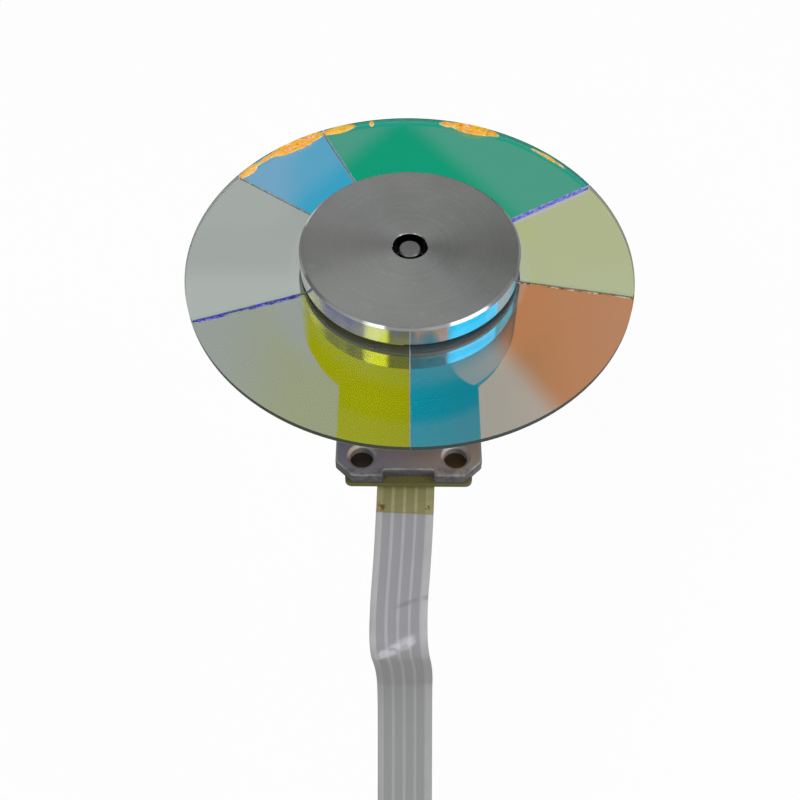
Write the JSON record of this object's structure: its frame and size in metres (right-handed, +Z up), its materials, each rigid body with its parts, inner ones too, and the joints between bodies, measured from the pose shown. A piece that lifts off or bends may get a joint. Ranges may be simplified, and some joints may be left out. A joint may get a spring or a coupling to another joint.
{
  "type": "projector color wheel",
  "caption": "Ring of coloured glass filters clamped on the hub of a small flat motor, with a screw-down steel bracket and a flat ribbon cable.",
  "frame": {"origin": "midway between the two screw holes, on the bracket's top face", "axes": "+Z up the wheel's axis from the bracket towards the filters; the wheel's axis stands 15.57 mm behind the origin, at +Y; the ribbon cable leaves towards -Y and hangs down"},
  "size_m": [0.04, 0.0673, 0.067],
  "materials": {
    "bracket_steel": "punched, bright, slightly worn",
    "board_resin": "olive solder resist",
    "housing_brass": "turned",
    "bearing_bronze": "sintered, oil-soaked",
    "cover_steel": "pressed disc",
    "thrust_plastic": "smooth",
    "lamination_steel": "stacked laminations, varnished",
    "enamelled_copper": "enamelled winding wire",
    "solder": "bright solder",
    "ribbon_insulation": "white film over grey conductors",
    "amber_tape": "translucent olive film",
    "stiffener_film": "smooth film",
    "tinned_contact": "tinned",
    "ground_steel": "ground",
    "washer_plastic": "smooth",
    "cup_steel": "drawn, bright",
    "magnet": "bonded magnet, matt dark grey",
    "turned_aluminium": "finely turned",
    "clear_glue": "glossy cured adhesive",
    "red_filter_glass": "interference coated",
    "yellow_filter_glass": "interference coated",
    "green_filter_glass": "interference coated",
    "cyan_filter_glass": "interference coated",
    "clear_filter_glass": "anti-reflection coated",
    "blue_filter_glass": "interference coated"
  },
  "bodies": {
    "motor_base": {"mounting_bracket": "bracket_steel", "circuit_board": "board_resin", "bearing_housing": "housing_brass", "sleeve_bearing": "bearing_bronze", "bottom_cover": "cover_steel", "thrust_pad": "thrust_plastic", "stator_core": "lamination_steel", "coil_1": "enamelled_copper", "coil_2": "enamelled_copper", "coil_3": "enamelled_copper", "coil_4": "enamelled_copper", "coil_5": "enamelled_copper", "coil_6": "enamelled_copper", "coil_7": "enamelled_copper", "coil_8": "enamelled_copper", "coil_9": "enamelled_copper", "winding_leads": "enamelled_copper", "lead_solder": "solder", "cable_solder": "solder", "ribbon_cable": "ribbon_insulation", "insulating_tape": "amber_tape", "cable_stiffener": "stiffener_film", "cable_contacts": "tinned_contact"},
    "wheel": {"shaft": "ground_steel", "retaining_washer": "washer_plastic", "rotor_cup": "cup_steel", "magnet_ring": "magnet", "rotor_hub": "turned_aluminium", "hub_cap": "turned_aluminium", "glue_fillet": "clear_glue", "filter_red": "red_filter_glass", "filter_yellow": "yellow_filter_glass", "filter_green": "green_filter_glass", "filter_cyan": "cyan_filter_glass", "filter_clear": "clear_filter_glass", "filter_blue": "blue_filter_glass"}
  },
  "joints": [
    {"name": "wheel_spin", "type": "hinge", "parent": "motor_base", "child": "wheel", "pos_m": [0, 0.01557, 0], "axis": [0, 0, 1], "continuous": true}
  ]
}
